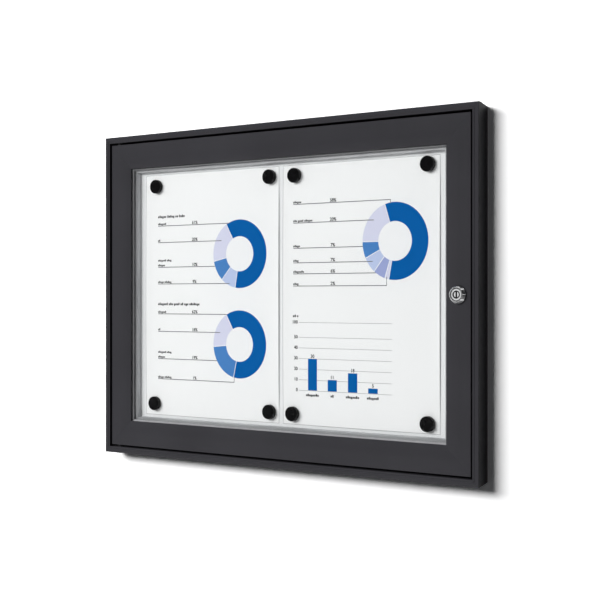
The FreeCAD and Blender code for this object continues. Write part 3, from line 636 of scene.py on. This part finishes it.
def print_leader(left, low, right, high):
    """A grey line of ink a little thicker than the words'."""
    return print_shapes([box(left, low, right, high)], "line_grey", LINE_THICK)


def print_number(side, foot, text, align="LEFT"):
    """A figure that begins, ends or has its middle at a place."""
    bpy.ops.object.select_all(action="DESELECT")
    bpy.ops.object.text_add()
    number = bpy.context.object
    number.data.body = text
    number.data.size = FIGURE_SIZE * MM
    number.data.align_x = align
    number.data.resolution_u = 4
    number.data.extrude = INK_THICK / 2 * MM
    number.data.offset = FIGURE_WEIGHT * MM
    bpy.ops.object.convert(target="MESH")
    number = bpy.context.object
    bpy.ops.object.mode_set(mode="EDIT")
    bpy.ops.mesh.select_all(action="SELECT")
    bpy.ops.mesh.remove_doubles(threshold=0.0005 * MM)
    bpy.ops.mesh.dissolve_degenerate(threshold=0.0005 * MM)
    bpy.ops.object.mode_set(mode="OBJECT")
    number.data.materials.clear()
    number.data.materials.append(inks["dark_grey"])
    return settle(number, (side * MM, -(INK_FRONT + INK_THICK / 2) * MM, foot * MM), (math.pi / 2, 0, 0))


def print_row(left, z, letters, number, text, lead_end):
    """A row of a chart: its words and its number, which has two or three signs, stand on a leader line."""
    return [print_words(left, z + 1.2, letters, ROW_LETTER),
            print_number(number + 3 - len(text), z + 1.0, text),
            print_leader(left, z - LEADER_WIDTH / 2, lead_end, z + LEADER_WIDTH / 2)]


LEFT_MARGIN = -192.8
LEFT_NUMBERS = -137
left_print = [print_words(LEFT_MARGIN, 95.2, (6, 5, 2, 4), HEADING_LETTER),
              print_words(LEFT_MARGIN, -12.6, (7, 3, 4, 2, 3, 7), HEADING_LETTER)]
left_print += print_ring((-62.1, 48.6), 40.6, 20.8, 120, (
    (0.61, "strong_blue"), (0.09, "pale_blue"), (0.1, "middle_blue"), (0.2, "mist_blue")))
left_print += print_ring((-62.3, -58.6), 40.3, 20.5, 120, (
    (0.62, "strong_blue"), (0.2, "middle_blue"), (0.18, "mist_blue")))
for z, letters, text, lead_end in (
        (85.3, (7,), "61%", -78.4), (64.8, (2,), "20%", -90.0), (34.3, (6,), "10%", -100.3),
        (13.6, (5, 6), "9%", -77.6), (-23.3, (7,), "62%", -81.8), (-45.0, (2,), "18%", -92.0),
        (-78.8, (6,), "19%", -97.2), (-103.7, (5, 6), "1%", -70.0)):
    left_print += print_row(LEFT_MARGIN, z, letters, LEFT_NUMBERS, text, lead_end)
for z in (41.4, -71.7):
    left_print.append(print_words(LEFT_MARGIN, z, (7, 4), ROW_LETTER))
left_print.append(print_leader(-70.7, -103.7, -70.0, -96.8))

RIGHT_MARGIN = 17.6
RIGHT_NUMBERS = 69
right_print = print_ring((155.8, 58.3), 42.4, 21.6, 108, (
    (0.58, "strong_blue"), (0.02, "mist_blue"), (0.06, "violet_blue"), (0.07, "pale_blue"), (0.07, "middle_blue"),
    (0.2, "mist_blue")))
for z, letters, text, lead_end in (
        (103.4, (6,), "58%", 150.4), (82.0, (3, 4, 6), "20%", 128.4), (53.2, (5,), "7%", 113.8),
        (36.5, (4,), "7%", 126.9), (23.9, (8,), "6%", 131.0), (10.0, (4,), "2%", 145.4)):
    right_print += print_row(RIGHT_MARGIN, z, letters, RIGHT_NUMBERS, text, lead_end)
right_print += [print_leader(149.7, 99.2, 150.4, 103.4), print_leader(144.7, 10.0, 145.4, 19.5)]

SCALE_ENDS = (25.6, 151.8)
SCALE_FOOT = -109.0
SCALE_STEP = 12.1
BAR_WIDTH = 12.6
for value, step in ((0, 0), (10, 1), (20, 2), (30, 3), (40, 4), (50, 5), (100, 6.4)):
    z = SCALE_FOOT + SCALE_STEP * step
    line = box(SCALE_ENDS[0], z - SCALE_LINE_WIDTH / 2, SCALE_ENDS[1], z + SCALE_LINE_WIDTH / 2)
    right_print.append(print_shapes([line], "scale_grey"))
    right_print.append(print_number(24.0, z - 1.2, str(value), "RIGHT"))
right_print.append(print_words(17.2, -25.6, (2, 1), AXIS_LETTER))
for x, value, letters in ((38.6, 30, 8), (66.1, 11, 2), (93.8, 18, 8), (120.9, 5, 7)):
    top = SCALE_FOOT + SCALE_STEP * value / 10
    middle = x + BAR_WIDTH / 2
    right_print.append(print_shapes([box(x, SCALE_FOOT + 0.4, x + BAR_WIDTH, top)], "strong_blue", LINE_THICK))
    right_print.append(print_number(middle, top + 1.2, str(value), "CENTER"))
    right_print.append(print_words(middle - 1.13 * letters, -115.3, (letters,), AXIS_LETTER))
for name, shapes in (("print_left", left_print), ("print_right", right_print)):
    ink_work = join(name, shapes)
    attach(ink_work, "case")


# Magnets. Eight black caps of satin plastic, moulded with a slightly hollow front, each with a ferrite disc
# pressed into its back. They are put on by hand, so they aren't quite in line.
MAGNET_PLACES = (
    (-193.65, 134.1), (-15.65, 136.9), (-196.45, -134.3), (-15.95, -135.8),
    (20.75, 136.5), (198.65, 139.1), (17.85, -136.3), (198.35, -137.7))

satin_plastic, place, shader = new_material("black_satin_plastic")
feed(satin_plastic, shader, {
    "Base Color": mottle(satin_plastic, place, 80.0, (0.001, 0.001, 0.0012), (0.002, 0.002, 0.0023)),
    "Roughness": grain(satin_plastic, place, 300.0, 0.26, 0.34),
    "Specular IOR Level": 0.15,
    "Normal": skin(satin_plastic, place, 2600.0, 0.00001),
})
ferrite, place, shader = new_material("ferrite")
feed(ferrite, shader, {
    "Base Color": mottle(ferrite, place, 1500.0, (0.06, 0.06, 0.062), (0.12, 0.12, 0.122)),
    "Roughness": 0.6,
})
cap = turn_piece("magnet_cap", [
    (0, 3.0), (6.0, 3.0), (6.0, 0), (8.2, 0), (8.2, 0.35), (8.5, 0.65), *arc((7.3, 4.3), 1.2, 0, 90, 8),
    (6.7, 5.48), (5.9, 5.38), (3.0, 5.27), (0, 5.25)])
cap.data.materials.append(satin_plastic)
smooth(cap, angle=35)
for number, (x, z) in enumerate(MAGNET_PLACES, start=1):
    magnet = copy_to(cap, f"magnet_cap_{number}", (x, -INK_FRONT, z))
    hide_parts(f"magnet_{number}")
    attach(magnet, "case")
bpy.data.objects.remove(cap)
wear("magnet_cores", ferrite)


# Strike, its screws and the door buffers. The strike is a bent steel plate that the cam goes behind; the door
# comes to rest on two rubber buffers.
rubber, place, shader = new_material("black_rubber")
feed(rubber, shader, {
    "Base Color": mottle(rubber, place, 700.0, (0.018, 0.018, 0.018), (0.032, 0.032, 0.032)),
    "Roughness": 0.75,
    "Normal": skin(rubber, place, 1800.0, 0.00003),
})
wear("strike_plate", zinc_plate)
wear("strike_screws", zinc_plate)
wear("door_buffers", rubber)


# Door frame. Four mitred lengths of one wide aluminium profile, coated as the case: a hollow box with a flat
# outer face that curves back to the window, and a lip behind that holds the pane.
DOOR_EDGE = 10.0
DOOR_FLAT = 24.0
DOOR_BACK = 12.0
DOOR_FACE = 22.5
FACE_RADIUS = 57.3625
HOLLOW_EDGE = 11.8
HOLLOW_END = 32.7
HOLLOW_FRONT = 20.5
WINDOW = 40.75
WINDOW_ROUND = 0.4
FLANGE_BACK = 17.3
PANE_BACK = 13.8
PANE_GROOVE = 34.5
LIP = 37.5
PIN_IN_DOOR = {"bottom": (-188.5, -185.5), "top": (188.5, 185.5)}
LOCK_X = 243.0
LOCK_HOLE = 7.1
SEAT = 21.345
SEAT_RADIUS = 9.95

door_outline = [
    (DOOR_EDGE, DOOR_BACK), *arc((DOOR_EDGE + EDGE_ROUND, DOOR_FACE - EDGE_ROUND), EDGE_ROUND, 180, 90),
    *arc((DOOR_FLAT, DOOR_FACE - FACE_RADIUS), FACE_RADIUS, 90, 73.32, 14),
    *arc((WINDOW - WINDOW_ROUND, 19.7), WINDOW_ROUND, 60, 0, 4), (WINDOW, FLANGE_BACK),
    (PANE_GROOVE, FLANGE_BACK), (PANE_GROOVE, PANE_BACK), (LIP, PANE_BACK), (LIP, DOOR_BACK),
]
door_hollow = [
    (HOLLOW_EDGE, PANE_BACK), (HOLLOW_EDGE, HOLLOW_FRONT),
    *arc((DOOR_FLAT, HOLLOW_FRONT - FACE_RADIUS), FACE_RADIUS, 90, 81.28, 6), (HOLLOW_END, PANE_BACK),
]
for side in SIDES:
    member = saw_member(f"door_{side}", side, [door_outline, door_hollow])
    if side in PIN_IN_DOOR:
        start, end = PIN_IN_DOOR[side]
        drill(member, (*HINGE, start), (*HINGE, end), HINGE_HOLE)
    if side == "right":
        drill_row(member, [(LOCK_X, 0)], (10, 25), LOCK_HOLE)
        drill_row(member, [(LOCK_X, 0)], (SEAT, 25), SEAT_RADIUS)
    member.data.materials.append(powder_coat)
    smooth(member)
    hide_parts(f"door_frame_{side}")
    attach(member, "door")


# Corner keys of the door. Zinc castings pushed into the hollows of the profile, one at each mitre. The two at the
# hinge side are bored for the pins.
zinc_casting, place, shader = new_material("zinc_casting")
feed(zinc_casting, shader, {
    "Base Color": mottle(zinc_casting, place, 150.0, (0.42, 0.43, 0.45), (0.55, 0.55, 0.57)),
    "Metallic": 1.0,
    "Roughness": grain(zinc_casting, place, 500.0, 0.45, 0.6),
    "Normal": skin(zinc_casting, place, 900.0, 0.00005),
})
for side in SIDES:
    wear(f"door_corner_key_{side}", zinc_casting)


# Glazing gasket. A soft light grey strip between the flange of the door and the pane; its lip shows as the fine
# light line round the window.
PANE_FRONT = 15.8

soft_grey, place, shader = new_material("light_grey_gasket")
feed(soft_grey, shader, {
    "Base Color": mottle(soft_grey, place, 120.0, (0.38, 0.38, 0.395), (0.45, 0.45, 0.465)),
    "Roughness": grain(soft_grey, place, 400.0, 0.3, 0.4),
    "Normal": skin(soft_grey, place, 2000.0, 0.00001),
})
gasket_outline = [
    (36, PANE_FRONT), (36, FLANGE_BACK), (WINDOW, FLANGE_BACK), (42.15, 16.74), *arc((42.2, 16.44), 0.3, 70, 0, 3),
    (42.5, PANE_FRONT),
]
for side in SIDES:
    gasket = saw_member(f"gasket_{side}", side, [gasket_outline])
    gasket.data.materials.append(soft_grey)
    smooth(gasket)
    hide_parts(f"glazing_gasket_{side}")
    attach(gasket, "door")


# Pane. Clear safety glass with ground edges. It lies in the groove of the door profile, between the gasket and
# the lip.
PANE = (465.0, 325.0)

clear_glass, place, shader = new_material("clear_glass")
feed(clear_glass, shader, {
    "Base Color": mottle(clear_glass, place, 5.0, (0.978, 0.981, 0.979), (0.986, 0.988, 0.987)),
    "Roughness": 0.0,
    "IOR": 1.5,
    "Transmission Weight": 1.0,
})
see_through = add(clear_glass, "BsdfTransparent", {"Color": (0.968, 0.973, 0.97, 1)})
shadow_ray = add(clear_glass, "LightPath", {}).outputs["Is Shadow Ray"]
both = add(clear_glass, "MixShader", {0: shadow_ray, 1: shader.outputs["BSDF"], 2: see_through.outputs["BSDF"]})
feed(clear_glass, clear_glass.node_tree.nodes["Material Output"], {"Surface": both.outputs["Shader"]})
pane = cut_plate("glass_pane", *PANE, PANE_BACK, PANE_FRONT, corner=1.5, edge=0.3)
pane.data.materials.append(clear_glass)
smooth(pane)
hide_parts("window_pane")
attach(pane, "door")


# Hinge. Two turned steel pins go through the rim into the door's corner keys. The door rides on a black nylon
# washer round each pin.
turned_steel, place, shader = new_material("turned_steel")
feed(turned_steel, shader, {
    "Base Color": mottle(turned_steel, place, 200.0, (0.46, 0.46, 0.47), (0.56, 0.56, 0.57)),
    "Metallic": 1.0,
    "Roughness": grain(turned_steel, place, 1500.0, 0.22, 0.35),
})
nylon, place, shader = new_material("black_nylon")
feed(nylon, shader, {
    "Base Color": mottle(nylon, place, 500.0, (0.03, 0.03, 0.03), (0.05, 0.05, 0.05)),
    "Roughness": 0.5,
})
for end in ("bottom", "top"):
    wear(f"hinge_pin_{end}", turned_steel)
wear("hinge_washers", nylon)


# Lock housing and nut. A chromed die casting: a tapered front ring seated in the door's face and a threaded
# barrel, which a hexagon nut holds from behind.
BARREL_END = 7.5
BARREL_BORE = 5.85
THREAD_TOP = 12.0
THREAD_RADIUS = 7.0
THREAD_ROOT = 6.7
HALF_PITCH = 0.4
BEZEL_FRONT = 26.845
FACE_OF_PLUG = 26.445
NUT_ACROSS = 18.0
NUT_THICK = 2.2
NUT_MIDDLE = 10.9
NUT_HOLE = 7.05

chrome, place, shader = new_material("polished_chrome")
feed(chrome, shader, {
    "Base Color": mottle(chrome, place, 300.0, (0.7, 0.71, 0.72), (0.78, 0.78, 0.79)),
    "Metallic": 1.0,
    "Roughness": grain(chrome, place, 900.0, 0.06, 0.11),
})
thread = [(THREAD_RADIUS if step % 2 else THREAD_ROOT, THREAD_TOP - HALF_PITCH * step) for step in range(11)]
housing_section = [
    (BARREL_BORE, BARREL_END), (BARREL_BORE, FACE_OF_PLUG - 0.1), (6.1, FACE_OF_PLUG - 0.1), (6.3, FACE_OF_PLUG - 0.3),
    (6.35, BEZEL_FRONT - 1.6), (6.85, BEZEL_FRONT - 1.6), (6.95, BEZEL_FRONT - 0.4),
    *arc((7.3, BEZEL_FRONT - 0.35), 0.35, 160, 60, 6), *arc((3.18, BEZEL_FRONT - 5.675), 7.1, 52, 28, 10),
    *arc((9.35, 24.1), 0.4, 30, 0, 3),
    (9.75, SEAT + 0.1), (9.65, SEAT), (THREAD_RADIUS, SEAT), *thread, (6.5, BARREL_END)]
housing = turn_piece("lock_body", housing_section + housing_section[:1], steps=96)
# Painted shade for the lock's recesses: a near-black metal that stands in for the shade in its grooves and keyway.
recess_shade_casting, place, shader = new_material("recess_shade_casting")
feed(recess_shade_casting, shader, {
    "Base Color": mottle(recess_shade_casting, place, 600.0, (0.02, 0.02, 0.021), (0.04, 0.04, 0.041)),
    "Metallic": 0.6,
    "Roughness": 0.6,
})


def dull_recesses(piece, recesses):
    """Paints shade into recesses: faces there, given by radius and by their height, get a near-black finish that
    stands in for the shade inside them.
    """
    piece.data.materials.append(chrome)
    piece.data.materials.append(recess_shade_casting)
    for face in piece.data.polygons:
        radius, height = math.hypot(face.center.x, face.center.z) / MM, -face.center.y / MM
        for inner, outer, top in recesses:
            if inner < radius < outer and height < top:
                face.material_index = 1


# Painted shade in the groove between the bezel and the plug
dull_recesses(housing, ((6.32, 6.93, BEZEL_FRONT - 0.45),))
settle(housing, (LOCK_X * MM, 0, 0))
smooth(housing, angle=32)
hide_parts("lock_housing")
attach(housing, "door")

bpy.ops.object.select_all(action="DESELECT")
bpy.ops.mesh.primitive_cylinder_add(
    vertices=6, radius=NUT_ACROSS / math.sqrt(3) * MM, depth=NUT_THICK * MM, rotation=(0, math.pi / 6, 0))
nut = bpy.context.object
nut.name = nut.data.name = "lock_ring_nut"
settle(nut, (LOCK_X * MM, -NUT_MIDDLE * MM, 0), (math.pi / 2, 0, 0))
drill_row(nut, [(LOCK_X, 0)], (8, 14), NUT_HOLE)
nut.data.materials.append(zinc_plate)
smooth(nut)
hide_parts("lock_nut")
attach(nut, "door")


# Plug, cam and cam screw. The plug turns in the housing and has a raised ring round its keyway; the steel cam
# sits on its square tail behind the door.
TAIL_WIDTH = 6.0
TAIL_LENGTH = 2.3
TAIL_MIDDLE = 6.4
PLUG_RADIUS = 5.8
PLUG_END = 7.25

plug = turn_piece("lock_barrel", [
    (0, FACE_OF_PLUG - 0.35), (2.95, FACE_OF_PLUG - 0.4), (3.2, FACE_OF_PLUG - 0.6), (3.3, FACE_OF_PLUG - 1.5),
    (4.05, FACE_OF_PLUG - 1.5), (4.15, FACE_OF_PLUG - 0.4), *arc((4.45, FACE_OF_PLUG - 0.35), 0.3, 170, 105, 4),
    *arc((5.0, FACE_OF_PLUG - 4.0), 4.0, 95, 80, 6), (PLUG_RADIUS, FACE_OF_PLUG - 0.3),
    (PLUG_RADIUS, PLUG_END), (0, PLUG_END)], steps=96)
# The keyway is a deep slot, and a shallow one that is narrower and a little longer
for width, length, top, depth in ((1.9, 5.8, 26.1, 8.0), (1.0, 6.3, 26.2, 2.0)):
    tall = depth + CLEAR
    bpy.ops.object.select_all(action="DESELECT")
    bpy.ops.mesh.primitive_cube_add(
        size=1, location=(0, -(top + CLEAR - tall / 2) * MM, 0), scale=(width * MM, tall * MM, length * MM))
    cut_away(plug, bpy.context.object)
# Painted shade in the keyway and in the groove round it
dull_recesses(plug, ((3.22, 4.12, FACE_OF_PLUG - 0.45), (0, 3.2, FACE_OF_PLUG - 0.45)))
settle(plug, (LOCK_X * MM, 0, 0))
smooth(plug, angle=32)
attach(plug, "lock")
bpy.ops.object.select_all(action="DESELECT")
bpy.ops.mesh.primitive_cube_add(
    size=1, location=(LOCK_X * MM, -TAIL_MIDDLE * MM, 0), scale=(TAIL_WIDTH * MM, TAIL_LENGTH * MM, TAIL_WIDTH * MM))
tail = bpy.context.object
tail.name = tail.data.name = "plug_tail"
bpy.ops.object.transform_apply(location=True, rotation=True, scale=True)
corners = tail.modifiers.new("corners", "BEVEL")
corners.width = 0.35 * MM
corners.segments = 2
bpy.ops.object.modifier_apply(modifier=corners.name)
smooth(tail)
tail.data.materials.append(chrome)
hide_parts("lock_plug")
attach(tail, "lock")
wear("lock_cam", zinc_plate)
wear("cam_screw", zinc_plate)


# Stage. A white wall right behind the board takes its soft shadow, and a pale floor lies far below. Both are
# seen from their front only.
WHITE_PAINT = (1.7, 1.7, 1.7, 1)
for name, place, turn, own, lift in (
        ("wall", (0, 0.0006, 0), (math.pi / 2, 0, 0), 0.8, 0.0), ("floor", (0, 0, -0.9), (0, 0, 0), 0.4, 0.8)):
    bpy.ops.object.select_all(action="DESELECT")
    bpy.ops.mesh.primitive_plane_add(size=8)
    backdrop = bpy.context.object
    backdrop.name = backdrop.data.name = name
    settle(backdrop, place, turn)
    plaster = bpy.data.materials.new(f"white_{name}")
    plaster.use_nodes = True
    paths = add(plaster, "LightPath", {}).outputs
    # The camera sees white, also through the pane. Reflections show the plane's own tone.
    near = add(plaster, "BsdfDiffuse", {"Color": (own, own, own, 1)})
    white = add(plaster, "BsdfDiffuse", {"Color": WHITE_PAINT})
    glow = add(plaster, "Emission", {"Strength": 1.0})
    seen = add(plaster, "MixShader", {0: lift, 1: white.outputs["BSDF"], 2: glow.outputs["Emission"]})
    looked_at = add(plaster, "Math", {0: paths["Is Camera Ray"], 1: paths["Is Transmission Ray"]}, operation="MAXIMUM")
    front = add(plaster, "MixShader", {0: looked_at.outputs[0], 1: near.outputs["BSDF"], 2: seen.outputs["Shader"]})
    behind = add(plaster, "BsdfTransparent", {})
    facing_away = add(plaster, "NewGeometry", {}).outputs["Backfacing"]
    both = add(plaster, "MixShader", {0: facing_away, 1: front.outputs["Shader"], 2: behind.outputs["BSDF"]})
    feed(plaster, plaster.node_tree.nodes["Material Output"], {"Surface": both.outputs["Shader"]})
    backdrop.data.materials.append(plaster)
    backdrop.visible_shadow = False
    backdrop.visible_diffuse = False


# Light. One large soft lamp from the upper left gives the shadow; weak lamps open up the other sides, and they
# leave the wall alone.
def hang_lamp(name, place, size, power, aim=(0, 0, 0)):
    """A soft lamp that faces its aim from a place beside it, and isn't seen itself."""
    lamp = bpy.data.objects.new(name, bpy.data.lights.new(name, "AREA"))
    bpy.context.scene.collection.objects.link(lamp)
    lamp.data.shape = "RECTANGLE"
    lamp.data.size, lamp.data.size_y = size
    lamp.data.energy = power
    lamp.location = Vector(place) + Vector(aim)
    lamp.rotation_euler = (-Vector(place)).to_track_quat("-Z", "Y").to_euler()
    lamp.visible_camera = False
    lamp.visible_transmission = False
    return lamp


no_wall = bpy.data.collections.new("not_on_the_wall")
no_wall.objects.link(bpy.data.objects["wall"])
no_wall.collection_objects[0].light_linking.link_state = "EXCLUDE"
for name, place, size, power, spare_wall in (
        ("key_lamp", (-1.75, -3.4, 1.45), (3.2, 1.5), 167.0, False),
        ("sheen_lamp", (-1.75, -3.4, 1.45), (3.2, 1.5), 20.0, True),
        ("low_lamp", (0.3, -1.6, -1.8), (1.6, 0.8), 2.0, True),
        ("back_lamp", (-1.2, 2.2, 0.9), (2.0, 2.0), 28.0, True)):
    lamp = hang_lamp(name, place, size, power)
    lamp.visible_glossy = name != "key_lamp"
    if spare_wall:
        lamp.light_linking.receiver_collection = no_wall

# White cards round the lock, for the streaks in its chrome alone
chromed = bpy.data.collections.new("chromed")
for piece in (housing, plug, tail):
    chromed.objects.link(piece)
for name, place, size, power in (
        ("front_card", (-0.5, -0.86, 0.0), (0.8, 0.9), 1.8),
        ("top_card", (-0.24, -0.28, 0.9), (0.8, 0.6), 0.9),
        ("left_card", (-0.9, -0.35, 0.1), (0.3, 0.8), 0.2),
        ("bar_card", (0.86, -0.5, 0.0), (0.9, 0.09), 0.2),
        ("high_card", (0.45, -0.3, 0.84), (0.7, 0.26), 0.5),
        ("foot_card", (0.45, -0.3, -0.84), (0.7, 0.26), 0.5)):
    card = hang_lamp(name, place, size, power, aim=(LOCK_X * MM, 0, 0))
    card.light_linking.receiver_collection = chromed

# The room is dim for all but the camera, which sees white round the board and through the pane
world = bpy.data.worlds.new("studio")
bpy.context.scene.world = world
world.use_nodes = True
paths = add(world, "LightPath", {}).outputs
unbent = add(world, "Math", {0: paths["Diffuse Depth"], 1: paths["Glossy Depth"]}, operation="ADD")
direct = add(world, "Math", {0: unbent.outputs[0], 1: 0.5}, operation="LESS_THAN")
through = add(world, "Math", {0: paths["Is Transmission Ray"], 1: direct.outputs[0]}, operation="MULTIPLY")
seen_through = add(world, "Math", {0: paths["Is Camera Ray"], 1: through.outputs[0]}, operation="MAXIMUM")
room = add(world, "Background", {"Color": (0.95, 0.97, 1, 1), "Strength": 0.04})
white = add(world, "Background", {"Color": (1, 1, 1, 1), "Strength": 1.0})
both = add(world, "MixShader", {0: seen_through.outputs[0], 1: room.outputs[0], 2: white.outputs[0]})
feed(world, world.node_tree.nodes["World Output"], {"Surface": both.outputs["Shader"]})


# Camera. It stands to the right of the board at the height of its middle, about 1.5 m off, with a lens of 80 mm.
# The view settings keep the colours as they are.
camera = bpy.data.objects.new("camera", bpy.data.cameras.new("camera"))
bpy.context.scene.collection.objects.link(camera)
camera.location = (0.93916, -1.22255, -0.0027)
camera.rotation_euler = (math.radians(89.878), 0, math.radians(36.892))
camera.data.lens = 79.84
camera.data.sensor_width = 36.0
bpy.context.scene.camera = camera

bpy.context.scene.view_settings.view_transform = "Standard"
